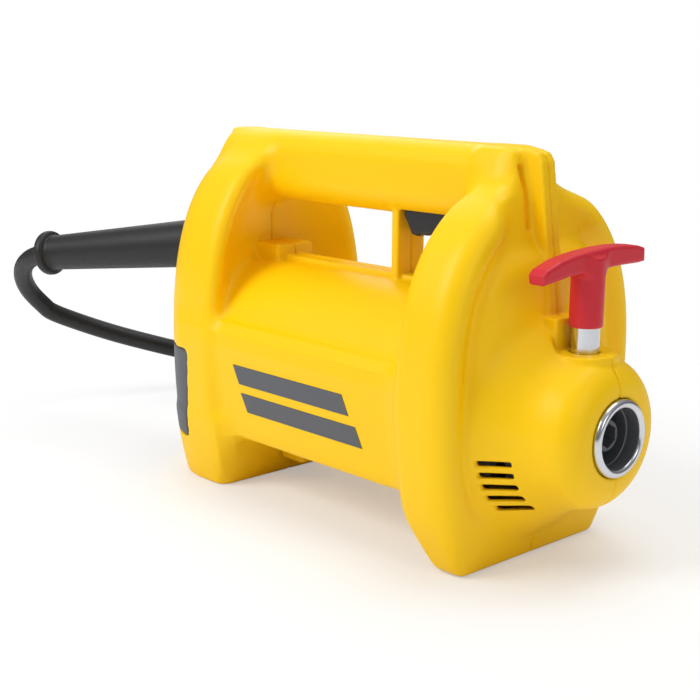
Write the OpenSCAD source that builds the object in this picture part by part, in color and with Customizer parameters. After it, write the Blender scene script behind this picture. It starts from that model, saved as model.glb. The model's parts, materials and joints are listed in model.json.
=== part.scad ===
// Electric drive unit of a concrete vibrator: a hand-held motor in a two-half
// moulded housing with a top handle, a quick-lock socket for a flexible shaft,
// and a mains cord.
// Frame: +X to the shaft socket, +Y to the left, +Z up. The origin is on the
// floor under the middle of the unit, cord and cable guard left out.

/* [Housing] */
// Top of the handle above the floor, mm
handle_top = 220; // [200:1:240]
// Half width of the front bulkhead, mm
front_half = 79; // [70:0.5:90]
// Half width of the rear bulkhead, mm
rear_half = 65; // [60:0.5:80]
// Wall thickness of the moulding, mm
wall = 3.2; // [2.5:0.1:5]
// Width of the grip, mm
grip_w = 33; // [28:1:40]

/* [Socket] */
// Height of the drive axis above the floor, mm
axis_z = 77.2; // [70:0.1:90]
// Radius of the socket mouth, mm
socket_r = 15.9; // [12:0.1:18]
// Across flats of the hexagonal drive recess, mm
hex_af = 11.5; // [9:0.1:14]

/* [Locking knob] */
// Distance of the locking pin from the origin, mm
lock_x = 134.2; // [128:0.1:140]
// Travel of the locking pin, mm
lock_lift = 8; // [5:0.5:10]

/* [Motor] */
// Outside radius of the field core, mm
stator_r = 41; // [35:0.5:44]
// Air gap beside the armature, mm
air_gap = 0.6; // [0.4:0.1:1]

/* [Cord] */
// Outside diameter of the mains cable, mm
cable_d = 13.5; // [9:0.5:14]
// Mean radius of the wound coil, mm
coil_r = 75; // [60:1:90]

/* [Hidden] */
$fn = 48;
e = 0.01;
xr = -160.5;      // rear face
xf = 160.5;       // front face of the socket ring
gx = -0.9322; gy = -0.3393; gz = -0.126;      // direction of the cable guard
g0 = [-160, 0, 144];                          // where it leaves the rear wall
g_len = 157;
bend_r = 52;                                // how tightly the cable turns back behind the guard
coil_c = [-221, 168];

// ---------- outlines, as [y, z] points ----------
// a is the half width at height zc, bu and bl the heights above and below it,
// s an inset and q the roundness (2 is an ellipse)
function sp(v, q) = sign(v) * pow(abs(v), 2 / q);
function egg(a, zc, bu, bl, s, q, n = 20) = concat(
  [for (i = [0 : n]) let (t = 180 * i / n) [(a - s) * sp(cos(t), q), zc + (bu - s) * sp(sin(t), q)]],
  [for (i = [1 : 7]) let (z = zc - (zc - s) * i / 7) [-(a - s) * pow(max(0, 1 - pow((zc - z) / bl, q)), 1 / q), z]],
  [for (i = [7 : -1 : 1]) let (z = zc - (zc - s) * i / 7) [(a - s) * pow(max(0, 1 - pow((zc - z) / bl, q)), 1 / q), z]]);
function front_egg(s = 0) = egg(front_half, 104, 98, 139, s, 2.2);
function rear_egg(s = 0) = egg(rear_half, 90, 120, 142.5, s, 2.3);
// dome inset at depth d behind the rear face
function dome(d) = 44 - sqrt(44 * 44 - pow(44 - d, 2));
// rear outline narrowed sideways by s, floor kept
function rear_cut(s, zb) = [for (p = egg(rear_half - s, 90, 120 - s * 0.9, 142.5, 0, 2.3)) [p[0], max(zb, p[1])]];
mid_pts = [[-50, 33], [50, 33], [56.5, 37], [58.2, 43], [64, 93], [63, 101], [59.5, 107], [50, 109],
  [-50, 109], [-59.5, 107], [-63, 101], [-64, 93], [-58.2, 43], [-56.5, 37]];
mid_in = [[-49, 36.2], [49, 36.2], [53.5, 39], [55, 44], [60.7, 93], [59.8, 99], [57.5, 103.6], [49, 105.6],
  [-49, 105.6], [-57.5, 103.6], [-59.8, 99], [-60.7, 93], [-55, 44], [-53.5, 39]];
nose_prof = [[0, 100], [60, 100], [60.5, 110], [57, 115], [53, 119.5], [46.8, 127.5], [42.6, 135.5], [40.2, 143.5],
  [38.2, 149], [34, 153.8], [28.4, 156.8], [21.2, 157.8], [0, 157.8]];
nose_in = [[0, 99], [56.8, 99], [57, 108.5], [54, 112.5], [50, 117], [43.5, 125], [39, 133], [36, 141],
  [33, 147.5], [29, 151], [24, 153.2], [0, 153.2]];
arch = [[-99.5, -1], [-93, 17], [-86, 28], [-78, 33], [46, 33], [61, 35], [70, 29], [77, 17], [81, 7], [83.5, -1]];
arch_in = [[-104, -2], [-97, 18], [-90, 30], [-80, 36.2], [47, 36.2], [62, 38.4], [72.5, 31], [80.5, 18], [84.5, 7.5], [87.3, -2]];

module alongx(x0, x1) { translate([x0, 0, 0]) rotate([90, 0, 90]) linear_extrude(height = x1 - x0) children(); }
module alongy(y0, y1) { translate([0, y1, 0]) rotate([90, 0, 0]) linear_extrude(height = y1 - y0) children(); }
module turnx() { translate([0, 0, axis_z]) rotate([0, 90, 0]) rotate_extrude($fn = 72) children(); }
module rodx(r, x0, x1, y = 0, z = axis_z) { translate([x0, y, z]) rotate([0, 90, 0]) cylinder(r = r, h = x1 - x0); }
module rody(r, y0, y1, x, z) { translate([x, y0, z]) rotate([-90, 0, 0]) cylinder(r = r, h = y1 - y0); }
module grip2d(s = 0) {
  w = grip_w / 2 - s; zb = 177.5 + s; zt = handle_top - s; r = 13 - s;
  translate([0, zb]) translate([-w, r]) square([2 * w, zt - zb - 2 * r]);
  translate([-w + r, zb]) square([2 * (w - r), zt - zb]);
  for (sy = [-1, 1]) for (z = [zb + r, zt - r]) translate([sy * (w - r), z]) circle(r = r);
}

screw_xz = [[-142, 200], [-40, 205], [92, 203], [-104, 142.6], [-82, 23], [92.5, 16], [92.5, 168]];
// how far out the screw wells are open; two of them sit in narrow blocks
function well(p) = p[0] == -104 || p[0] == -82 ? 7 : 92;

module outer() {
  difference() {
    union() {
      alongx(-126, 100) polygon(mid_pts);
      rodx(60.5, -126, 100, 0, 80.3, $fn = 72);
      alongx(-128, 100) polygon([[-8, 120], [8, 120], [7, 143.2], [-7, 143.2]]);
      alongx(46, 62) polygon([for (p = mid_pts) [p[0] * (1 + 0.045), p[1]]]);
      alongx(60, 72.5) polygon([for (p = mid_pts) [p[0] * (1 + 0.12), p[1]]]);
      alongx(75, 104) polygon(front_egg());
      alongx(71, 108) polygon(front_egg(4.5));
      alongx(103, 109.8) polygon(front_egg(10));
      turnx() polygon(nose_prof);
      alongx(-121, -97.5) polygon(rear_egg(1.5));
      alongx(-131, -101) polygon(rear_egg());
      alongx(-143, -120) polygon(rear_cut(dome(24), 0));
      alongx(-151, -130) polygon(rear_cut(dome(13.5), 3));
      alongx(-157, -140) polygon(rear_cut(dome(6.5), 9));
      alongx(xr, -150) polygon(rear_cut(dome(1.7), 18));
      alongx(-149, 89) grip2d();
      alongy(-5, 5) polygon([[-140, 190], [-152, 190], [-152, 211], [-151, 215.5], [-147.5, 218.6], [-143, 219.5], [-140, 219.5]]);
      translate([3.8, -11, 138]) cube([5.6, 22, 45]);
      translate([-125.5, -14, 130]) cube([33.2, 28, 19.8]);
      translate([-92, -12.5, 12]) cube([20, 25, 24]);
      alongy(-5, 5) polygon([[88, 217], [104.5, 213], [107, 207], [112.5, 166], [116, 134], [116, 110], [88, 110]]);
      translate([lock_x, 0, axis_z]) cylinder(r = 17.5, h = 41.3);
      translate([104, -11.5, 95]) cube([20.5, 23, 39.6]);
    }
    alongy(-100, 12.4) polygon(arch);
    alongy(12.4, 100) polygon(arch);
    // cut back the dished front of the rear bulkhead beside the grip
    for (s = [-1, 1]) {
      translate([-108.5, s > 0 ? 16 : -50, 146]) cube([60, 34, 30]);
      translate([-113.5, s > 0 ? 14 : -34, 149.9]) cube([60, 20, 27]);
    }
    translate([-115.5, -17, 149.9]) cube([60, 34, 27.5]);
  }
}

module inner() {
  difference() {
    union() {
      alongx(-122.5, 96) polygon(mid_in);
      rodx(57.2, -122.5, 96, 0, 80.3, $fn = 72);
      alongx(78.2, 104.6) polygon(front_egg(wall + 1));
      turnx() polygon(nose_in);
      alongx(-131, -101.2) polygon(rear_egg(wall + 1.5));
      alongx(-141.5, -124) polygon(rear_cut(dome(24) + wall, 3.4));
      alongx(-149, -134) polygon(rear_cut(dome(13.5) + wall, 6.4));
      alongx(-154, -144) polygon(rear_cut(dome(6.5) + wall, 13));
      alongx(-157.2, -150) polygon(rear_cut(dome(1.7) + wall, 22));
      alongx(-145.8, 99) grip2d(wall);
    }
    alongy(-100, 100) polygon(arch_in);
    translate([-200, -100, -5]) cube([400, 200, 5 + wall]);
    // the space behind the grip, above the barrel, is outside
    difference() {
      translate([-102, -100, 141.8]) cube([173.7, 200, 38.9]);
      translate([9, -11, 177]) cube([66, 22, 10]);
    }
    translate([-119.8, -24, 140.5]) cube([40, 48, 40.2]);
    translate([-116.9, -38, 142]) cube([40, 76, 38]);
    translate([-111.9, -54, 142]) cube([40, 108, 38]);
    // seats for the field core and the bearing plate
    difference() { rodx(70, -27, -23, $fn = 72); rodx(stator_r + 0.15, -30, -20, $fn = 72); }
    difference() { rodx(70, 22, 26, $fn = 72); rodx(stator_r + 0.15, 20, 30, $fn = 72); }
    difference() { alongx(86, 89.7) polygon(front_egg()); rodx(44, 80, 100, $fn = 72); translate([80, -8, 176]) cube([20, 16, 12]); }
    difference() { rodx(50, -93, -79.9); rodx(16.1, -94, -79); rodx(12, -94, -60); for (s = [-1, 1]) translate([-94, s > 0 ? 30 : -60, 30]) cube([20, 30, 100]); }
    for (p = screw_xz) rody(5.5, -14, 100, p[0], p[1]);
    difference() { translate([lock_x, 0, 99.5]) cylinder(r = 15, h = 20); translate([lock_x, 0, 99.4]) cylinder(r = 7.5, h = 21); }
  }
}

module guard_at(s) { translate(g0) rotate([0, 0, atan2(gy, gx)]) rotate([0, 90 + asin(-gz), 0]) translate([0, 0, s]) children(); }

module cover_zone(g = 0) { translate([-170, -100, 28.5 + g]) cube([48 - g, 200, 57.5 - 2 * g]); }

module shell() {
  difference() {
    outer();
    inner();
    cover_zone(0);
    for (p = screw_xz) { rody(2.6, 0, 8.5, p[0], p[1]); rody(2.1, -12.5, 1, p[0], p[1]); rody(4.9, 8, 8 + well(p), p[0], p[1]); }
    rodx(20.9, 140, 162);
    translate([lock_x, 0, 90]) cylinder(r = 7.5, h = 40);
    guard_at(-26.2) cylinder(r = 16.3, h = 56);
    rody(2.05, -14.6, 14.6, 69.5, 183.5);
    // trigger slot
    translate([10, -9.7, 174]) cube([66, 19.4, 12]);
    // exhaust slots low on both sides of the nose
    for (i = [0 : 4]) translate([112.4, -75, 63.8 - i * 6.65]) cube([14, 150, 3]);
  }
}

module housing_right() { color([1, 0.8, 0.02]) intersection() { shell(); translate([-200, -120, -5]) cube([400, 120 - 0.02, 260]); } }
module housing_left() { color([1, 0.8, 0.02]) intersection() { shell(); translate([-200, 0.02, -5]) cube([400, 120, 260]); } }

module rear_cover() {
  color([0.33, 0.34, 0.37]) difference() {
    intersection() {
      cover_zone(0.3);
      union() {
        alongx(-131, -106) polygon(rear_egg());
        alongx(-143, -120) polygon(rear_cut(dome(24), 0));
        alongx(-151, -130) polygon(rear_cut(dome(13.5), 3));
        alongx(-157, -140) polygon(rear_cut(dome(6.5), 9));
        alongx(xr, -150) polygon(rear_cut(dome(1.7), 18));
      }
    }
    alongx(-141.5, -110) polygon(rear_cut(dome(24) + wall, 3.4));
    alongx(-149, -134) polygon(rear_cut(dome(13.5) + wall, 6.4));
    alongx(-154, -144) polygon(rear_cut(dome(6.5) + wall, 13));
    alongx(-157.2, -150) polygon(rear_cut(dome(1.7) + wall, 22));
    for (i = [0 : 6]) translate([-165, -20, 34 + i * 7]) cube([12, 40, 3]);
  }
}
module air_filter() { color([0.15, 0.15, 0.15]) translate([-147, -26, 36]) cube([8, 52, 44]); }

module bearing_plate() {
  color([0.7, 0.71, 0.73]) difference() {
    union() {
      rodx(52, 90, 95, $fn = 72);
      rodx(24, 90, 117.6);
    }
    rodx(17.5, 89, 101);
    rodx(10, 89, 120);
    for (a = [45 : 90 : 315]) rodx(2.2, 89, 96, 46 * cos(a), axis_z + 46 * sin(a));
    for (a = [0 : 60 : 300]) rodx(6, 89, 96, 34 * cos(a), axis_z + 34 * sin(a));
  }
}
module socket_sleeve() {
  color([0.8, 0.81, 0.83]) difference() {
    turnx() polygon([[9.6, 117.7], [20.5, 117.7], [20.5, 158.4], [20.1, 159.6], [19.2, 160.5], [17, 160.5], [socket_r, 159.6],
      [socket_r, 151.6], [15.3, 151.2], [15.3, 123.6], [9.6, 123.6]]);
    translate([lock_x, 0, axis_z]) cylinder(r = 4.6, h = 40);
    translate([lock_x, 0, axis_z + 19.3]) cylinder(r = 7.5, h = 10);
  }
}
module front_bearing() { color([0.62, 0.63, 0.65]) difference() { rodx(17.5, 90, 101); rodx(7.53, 89, 102); } }
module rear_bearing() { color([0.62, 0.63, 0.65]) difference() { rodx(16, -92, -83); rodx(6.03, -93, -82); } }

module stator_core() {
  color([0.42, 0.43, 0.45]) difference() {
    rodx(stator_r, -30, 30, $fn = 72);
    rodx(25.4 + air_gap, -31, 31, $fn = 72);
    for (s = [-1, 1]) intersection() {
      difference() { rodx(36, -31, 31, $fn = 72); rodx(20, -32, 32); }
      translate([-32, s > 0 ? 6 : -46, axis_z - 24]) cube([64, 40, 48]);
    }
  }
}
module field_coils() {
  color([0.62, 0.27, 0.1]) for (s = [-1, 1]) translate([0, 0, axis_z]) {
    for (x = [-41, 30.3]) translate([x, 0, 0]) rotate([0, 90, 0]) difference() {
      cylinder(r = 36, h = 10.7);
      translate([0, 0, -1]) cylinder(r = 27.5, h = 13);
      translate([s > 0 ? -8 : -50, -50, -2]) cube([58, 100, 16]);
    }
    for (y = [-1, 1]) translate([-30.4, y * 28.8 - 2.3, s > 0 ? 8.2 : -16.6]) cube([60.8, 4.6, 8.4]);
  }
}
module rotor_shaft() { color([0.7, 0.7, 0.72]) union() { rodx(6, -95, -60); rodx(7.5, -62, 109); rodx(5, 108, 123.5); } }
module armature_core() {
  color([0.4, 0.41, 0.43]) difference() {
    rodx(25.4, -30, 30, $fn = 72);
    rodx(7.5, -31, 31);
    for (a = [0 : 30 : 330]) translate([0, 0, axis_z]) rotate([a, 0, 0]) translate([-31, -1.5, 17]) cube([62, 3, 12]);
  }
}
module armature_winding() {
  color([0.6, 0.25, 0.1]) union() {
    difference() { rodx(21.5, 30.1, 40); rodx(7.5, 29, 41); }
    difference() { rodx(21.5, -43, -30.1); rodx(7.5, -44, -29); }
    for (a = [0 : 30 : 330]) translate([0, 0, axis_z]) rotate([a, 0, 0]) translate([-30.6, -1.4, 17.3]) cube([61.2, 2.8, 4]);
  }
}
module commutator() {
  color([0.72, 0.38, 0.18]) difference() {
    rodx(17, -68, -44.5);
    rodx(7.5, -69, -44);
    for (a = [0 : 20 : 340]) translate([0, 0, axis_z]) rotate([a, 0, 0]) translate([-69, -0.4, 16]) cube([26, 0.8, 3]);
  }
}
module fan() {
  color([0.2, 0.2, 0.2]) union() {
    difference() { rodx(12, 50, 66); rodx(7.5, 49, 67); }
    difference() { rodx(40, 50, 52.5, $fn = 72); rodx(11, 49, 54); }
    for (a = [0 : 30 : 330]) translate([0, 0, axis_z]) rotate([a, 0, 0]) translate([52, -1, 15]) cube([12, 2, 21]);
  }
}
module drive_spindle() {
  color([0.28, 0.29, 0.3]) difference() {
    union() { rodx(8.2, 110, 150.6); rodx(7.6, 150, 151.5); }
    rodx(5, 109, 124);
    rodx(hex_af / 2 / cos(30), 128, 152, $fn = 6);
  }
}

module brush_holder(s) {
  color([0.75, 0.6, 0.3]) translate([-56, 0, axis_z]) rotate([s > 0 ? -90 : 90, 0, 0]) difference() {
    translate([-6, -8, 19]) cube([12, 16, 27]);
    translate([-4.1, -6.1, 18]) cube([8.2, 12.2, 29]);
  }
}
module carbon_brush(s) {
  color([0.2, 0.2, 0.21]) translate([-56, 0, axis_z]) rotate([s > 0 ? -90 : 90, 0, 0]) difference() {
    translate([-4, -6, 16]) cube([8, 12, 14]);
    translate([-5, 0, 0]) rotate([0, 90, 0]) cylinder(r = 17.05, h = 10);
  }
}
module brush_spring(s) {
  color([0.6, 0.6, 0.6]) translate([-56, 0, axis_z]) rotate([s > 0 ? -90 : 90, 0, 0]) difference() {
    translate([0, 0, 30.1]) cylinder(r = 3.6, h = 13.8);
    translate([0, 0, 29]) cylinder(r = 2.6, h = 17);
  }
}
module brush_caps() {
  color([0.1, 0.1, 0.1]) for (s = [-1, 1]) translate([-56, 0, axis_z]) rotate([s > 0 ? -90 : 90, 0, 0]) translate([-4, -6, 44]) cube([8, 12, 6]);
}
module brush_holder_right() { brush_holder(-1); }
module brush_holder_left() { brush_holder(1); }
module carbon_brush_right() { carbon_brush(-1); }
module carbon_brush_left() { carbon_brush(1); }
module brush_spring_right() { brush_spring(-1); }
module brush_spring_left() { brush_spring(1); }

module switch_body() { color([0.12, 0.12, 0.13]) difference() { translate([8, -11, 194]) cube([54, 22, 19]); translate([33, 0, 190]) cylinder(r = 3.08, h = 12.5); } }
module switch_plunger() { color([0.85, 0.85, 0.83]) translate([33, 0, 188.2]) cylinder(r = 3, h = 9); }
module trigger() {
  color([0.14, 0.15, 0.18]) difference() {
    alongy(-9, 9) polygon([[11, 177.6], [17.6, 166.8], [21, 166.2], [31, 167.4], [43, 168], [55, 167.4], [65, 172], [73, 178],
      [75, 184], [72.5, 187.6], [68, 188.2], [62, 187.9], [22, 187.9], [16, 184], [12, 181.5]]);
    rody(2.06, -10, 10, 69.5, 183.5);
  }
}
module trigger_pin() { color([0.6, 0.6, 0.62]) rody(2, -14.4, 14.4, 69.5, 183.5); }
module capacitor() { color([0.16, 0.2, 0.32]) rodx(7, -86, -56, 4, 203); }
module motor_leads() {
  color([0.35, 0.16, 0.1]) for (y = [-12, -8]) union() {
    translate([-134.4, y - 1.3, 129.5]) cube([2.6, 2.6, 68]);
    translate([-134.4, y - 1.3, 194.9]) cube([142.2, 2.6, 2.6]);
    translate([-134.4, y - 1.3, 129.5]) cube([60, 2.6, 2.6]);
    translate([-77, y - 1.3, 104]) cube([2.6, 2.6, 28.1]);
  }
}
module cable_clamp() {
  color([0.2, 0.2, 0.2]) guard_at(-26) difference() {
    translate([-9, -13, 0]) cube([18, 26, 7.5]);
    translate([0, 0, -1]) cylinder(r = cable_d / 2 + 0.1, h = 10);
    for (y = [-10, 10]) translate([-10, y, 3.75]) rotate([0, 90, 0]) cylinder(r = 1.6, h = 20);
  }
}
module clamp_screws() {
  color([0.6, 0.6, 0.6]) guard_at(-26) for (y = [-10, 10]) translate([0, y, 3.75]) rotate([0, 90, 0]) union() {
    translate([0, 0, -11.4]) cylinder(r = 2.7, h = 2.3);
    translate([0, 0, -9.2]) cylinder(r = 1.5, h = 19);
  }
}
module housing_screws() {
  color([0.25, 0.25, 0.26]) for (p = screw_xz) difference() {
    union() { rody(2, -12, 8.5, p[0], p[1]); rody(4.2, 8.05, 11.2, p[0], p[1]); }
    rody(1.6, 9.4, 12, p[0], p[1], $fn = 6);
  }
}
module plate_screws() {
  color([0.5, 0.5, 0.52]) for (a = [45 : 90 : 315]) union() {
    rodx(2.1, 87, 95.2, 46 * cos(a), axis_z + 46 * sin(a));
    rodx(4, 95.1, 98, 46 * cos(a), axis_z + 46 * sin(a));
  }
}

// ---------- locking pin ----------
module lock_guide() {
  color([0.85, 0.86, 0.88]) translate([lock_x, 0, 0]) difference() {
    union() { translate([0, 0, axis_z + 19.4]) cylinder(r = 7.35, h = 142 - axis_z - 19.4); }
    translate([0, 0, 90]) cylinder(r = 5.7, h = 47.4);
    translate([0, 0, 130]) cylinder(r = 4.56, h = 14);
  }
}
module lock_spring() {
  color([0.6, 0.61, 0.63]) translate([lock_x, 0, 111.1]) difference() { cylinder(r = 5.5, h = 26.2); translate([0, 0, -1]) cylinder(r = 4.75, h = 29); }
}
module lock_collar() { color([0.6, 0.6, 0.62]) translate([lock_x, 0, 108.6]) difference() { cylinder(r = 5.5, h = 2.4); translate([0, 0, -1]) cylinder(r = 4.56, h = 5); } }
module lock_pin() { color([0.75, 0.76, 0.78]) translate([lock_x, 0, 0]) union() { translate([0, 0, 90.5]) cylinder(r = 4.5, h = 65); translate([0, 0, 106.4]) cylinder(r = 5.3, h = 2.1); } }
module t_handle() {
  color([0.85, 0.18, 0.22]) translate([lock_x, 0, 0]) difference() {
    union() {
      translate([0, 0, 131]) cylinder(r1 = 8.9, r2 = 8.5, h = 32);
      translate([0, 0, 165]) rotate([3, 0, 0]) translate([0, 0, -165]) rotate([90, 0, 90]) translate([0, 0, -6]) linear_extrude(height = 12)
        polygon([[-40, 158], [-29, 160], [-18, 160.8], [-9, 158], [9, 158], [18, 160.8], [29, 160], [40, 158],
          [40.6, 161], [40, 165], [29, 168.6], [15, 171], [0, 171.8], [-15, 171], [-29, 168.6], [-40, 165], [-40.6, 161]]);
    }
    translate([0, 0, 130]) cylinder(r = 7.65, h = 14);
    translate([0, 0, 140]) cylinder(r = 4.5, h = 15.6);
  }
}

// ---------- plain bars on the sides ----------
module bars(s) {
  color([0.33, 0.34, 0.37]) for (k = [0, 1]) multmatrix([[1, 0, 0, 0], [0, 1, s * 5.8 / 50, s * (58.2 - 43 * 5.8 / 50)], [0, 0, 1, 0], [0, 0, 0, 1]])
    translate([0, s > 0 ? 0.02 : -0.42, 0]) alongy(0, 0.4)
      polygon([[-76 + 4 * k, 84 - 17 * k], [-71 + 4 * k, 73 - 17 * k], [24 + 10 * k, 73 - 17 * k], [19 + 10 * k, 84 - 17 * k]]);
}
module side_bars_right() { bars(-1); }
module side_bars_left() { bars(1); }

// ---------- cord ----------
module cable_guard() {
  color([0.13, 0.13, 0.14]) guard_at(0) difference() {
    union() {
      translate([0, 0, -18]) cylinder(r = 18.5, h = 4);
      translate([0, 0, -15]) cylinder(r = 16, h = 37);
      translate([0, 0, 21]) cylinder(r1 = 16.4, r2 = 12.3, h = 131);
      translate([0, 0, 150]) cylinder(r = 15.8, h = 7);
    }
    translate([0, 0, -20]) cylinder(r = cable_d / 2 + 0.1, h = 190);
  }
}
function gp(s) = [g0[0] + gx * s, g0[1] + gy * s, g0[2] + gz * s];
// the cable turns back in a plane that leans down and away from the right side
px = -0.1581; py = 0.6949; pz = -0.7015;
function bend(a) = gp(g_len - 3) + bend_r * (sin(a) * [gx, gy, gz] + (1 - cos(a)) * [px, py, pz]);
route = [gp(-27.5), gp(60), gp(130), gp(g_len - 3), bend(20), bend(40), bend(60), bend(80), bend(100), bend(112),
  [-354, 5, 57], [-343, 29, 47], [-329, 57, 37], [-318, 87, 27], [-312, 115, 18], [-309.8, 142, 14], [-309.5, 168, 14]];
function cr(a, b, c, d, t) = 0.5 * ((2 * b) + (c - a) * t + (2 * a - 5 * b + 4 * c - d) * t * t + (3 * b - a - 3 * c + d) * t * t * t);
function at(p, i) = p[max(0, min(len(p) - 1, i))];
function smooth(p, k) = concat([for (i = [0 : len(p) - 2]) for (j = [0 : k - 1]) cr(at(p, i - 1), p[i], p[i + 1], at(p, i + 2), j / k)], [p[len(p) - 1]]);
function unit(v) = v / norm(v);
module tube(path, r, n = 10) {
  m = len(path);
  pts = [for (i = [0 : m - 1]) let (t = unit(at(path, i + 1) - at(path, i - 1)), a = unit(cross(t, [0, 0, 1])), b = cross(a, t))
    for (k = [0 : n - 1]) path[i] + r * (cos(360 * k / n) * a + sin(360 * k / n) * b)];
  polyhedron(points = pts, faces = concat([[for (k = [0 : n - 1]) k]], [[for (k = [n - 1 : -1 : 0]) (m - 1) * n + k]],
    [for (i = [0 : m - 2]) for (k = [0 : n - 1]) let (k2 = (k + 1) % n) [i * n + k, (i + 1) * n + k, (i + 1) * n + k2, i * n + k2]]), convexity = 6);
}
module cable() { color([0.09, 0.09, 0.1]) tube(smooth(route, 3), cable_d / 2); }
module cable_coil() {
  color([0.09, 0.09, 0.1]) translate([coil_c[0], coil_c[1], 0]) rotate_extrude($fn = 60)
    polygon([[coil_r - 20.5, 5], [coil_r - 16, 0.5], [coil_r + 16, 0.5], [coil_r + 20.5, 5], [coil_r + 20.5, 36], [coil_r + 16, 40.5], [coil_r - 16, 40.5], [coil_r - 20.5, 36]]);
}
// the last half turn climbs over the coil to the plug, which lies on it
function top(a, r, z) = [coil_c[0] + r * cos(a), coil_c[1] + r * sin(a), z];
tail = [top(180, 62, 46), top(150, 62.4, 48), top(120, 64, 50.5), top(90, 67, 54), top(60, 70.5, 57.5), top(30, 73.6, 60), top(0, 75, 61)];
module cable_tail() { color([0.09, 0.09, 0.1]) tube(smooth(tail, 2), cable_d / 2); }
module coil_tie() {
  color([0.2, 0.2, 0.21]) translate([coil_c[0] + coil_r * cos(70), coil_c[1] - coil_r * sin(70), 0]) rotate([0, 0, -70]) difference() {
    translate([-23.4, -7, 0]) cube([46.8, 14, 42.4]);
    translate([-21.9, -8, 0.4]) cube([43.8, 16, 40.6]);
  }
}
module plug_body() {
  color([0.1, 0.1, 0.11]) translate([coil_c[0] + 75, coil_c[1] - 0.1, 61]) rotate([90, 0, 0]) union() {
    cylinder(r1 = 8, r2 = 10, h = 30);
    translate([0, 0, 28]) cylinder(r1 = 13, r2 = 19.5, h = 14);
    translate([0, 0, 41.9]) cylinder(r = 19.5, h = 22);
  }
}
module plug_pins() { color([0.75, 0.76, 0.78]) translate([coil_c[0] + 75, coil_c[1] - 64.1, 61]) for (x = [-9.5, 9.5]) translate([x, 0, 0]) rotate([90, 0, 0]) union() { cylinder(r = 2.4, h = 17.5); translate([0, 0, 17.4]) cylinder(r1 = 2.4, r2 = 1.2, h = 1.6); } }

housing_right();
housing_left();
rear_cover();
air_filter();
bearing_plate();
socket_sleeve();
front_bearing();
rear_bearing();
stator_core();
field_coils();
brush_holder_right();
brush_holder_left();
carbon_brush_right();
carbon_brush_left();
brush_spring_right();
brush_spring_left();
brush_caps();
switch_body();
capacitor();
motor_leads();
cable_clamp();
clamp_screws();
housing_screws();
plate_screws();
trigger_pin();
lock_guide();
lock_spring();
lock_collar();
lock_pin();
t_handle();
side_bars_right();
side_bars_left();
trigger();
switch_plunger();
rotor_shaft();
armature_core();
armature_winding();
commutator();
fan();
drive_spindle();
cable_guard();
cable();
cable_coil();
cable_tail();
coil_tie();
plug_body();
plug_pins();
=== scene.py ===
"""Looks of a concrete vibrator's electric drive unit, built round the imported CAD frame."""
import json
import math

import bmesh
import bpy
import numpy as np
import openvdb
from mathutils import Matrix, Vector
from mathutils.bvhtree import BVHTree


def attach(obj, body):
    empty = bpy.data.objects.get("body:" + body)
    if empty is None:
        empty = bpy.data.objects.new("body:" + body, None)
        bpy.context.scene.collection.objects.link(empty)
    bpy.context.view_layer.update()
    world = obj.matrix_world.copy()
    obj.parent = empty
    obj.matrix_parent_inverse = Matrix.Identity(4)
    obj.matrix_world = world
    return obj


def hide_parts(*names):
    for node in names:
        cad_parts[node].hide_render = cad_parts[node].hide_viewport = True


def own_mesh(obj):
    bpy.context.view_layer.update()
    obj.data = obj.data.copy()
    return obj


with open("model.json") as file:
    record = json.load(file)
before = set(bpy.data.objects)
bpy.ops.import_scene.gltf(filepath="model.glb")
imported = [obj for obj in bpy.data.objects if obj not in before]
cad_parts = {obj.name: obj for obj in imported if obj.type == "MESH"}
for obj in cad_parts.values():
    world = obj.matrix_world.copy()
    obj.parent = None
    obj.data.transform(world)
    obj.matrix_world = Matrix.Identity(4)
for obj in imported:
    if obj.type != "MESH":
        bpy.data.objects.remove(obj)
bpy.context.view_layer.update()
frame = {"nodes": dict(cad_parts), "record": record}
MM = 0.001
AXIS_Z = 77.2                    # drive axis above the floor, mm
LOCK_X = 134.2                   # locking pin, mm


# ---------------------------------------------------------------- camera
def camera():
    az, el, roll = math.radians(47.11), math.radians(12.52), math.radians(0.47)
    back = Vector((math.sin(az) * math.cos(el),
                   -math.cos(az) * math.cos(el), math.sin(el)))
    cam = bpy.data.objects.new("camera", bpy.data.cameras.new("camera"))
    bpy.context.scene.collection.objects.link(cam)
    cam.data.sensor_width = 36
    cam.data.lens = 67.14
    cam.data.clip_start, cam.data.clip_end = 0.01, 50
    look = (-back).to_track_quat("-Z", "Y").to_matrix().to_4x4()
    place = Matrix.Translation((0.5285, -0.5293, 0.2621))
    cam.matrix_world = place @ look @ Matrix.Rotation(roll, 4, "Z")
    bpy.context.scene.camera = cam


camera()


# ---------------------------------------------------------------- signed distance tools, in mm
def smin(a, b, k):
    """The union of two fields with a fillet of about k."""
    h = np.clip(0.5 + 0.5 * (b - a) / k, 0, 1)
    return b + (a - b) * h - k * h * (1 - h)


def smax(a, b, k):
    return -smin(-a, -b, k)


def poly(points, u, v):
    """The signed distance in a plane from a closed polygon, negative inside."""
    p = np.array(points, float)
    best = np.full(np.broadcast(u, v).shape, 1e9)
    inside = np.zeros(best.shape, bool)
    for (ax, ay), (bx, by) in zip(p, np.roll(p, -1, 0)):
        ex, ey = bx - ax, by - ay
        t = np.clip(((u - ax) * ex + (v - ay) * ey) / max(ex * ex + ey * ey, 1e-12), 0, 1)
        best = np.minimum(best, (u - ax - t * ex) ** 2 + (v - ay - t * ey) ** 2)
        if ay != by:
            cross = ((ay > v) != (by > v)) & (u < ex * (v - ay) / ey + ax)
            inside ^= cross
    best = np.sqrt(best)
    return np.where(inside, -best, best)


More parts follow.
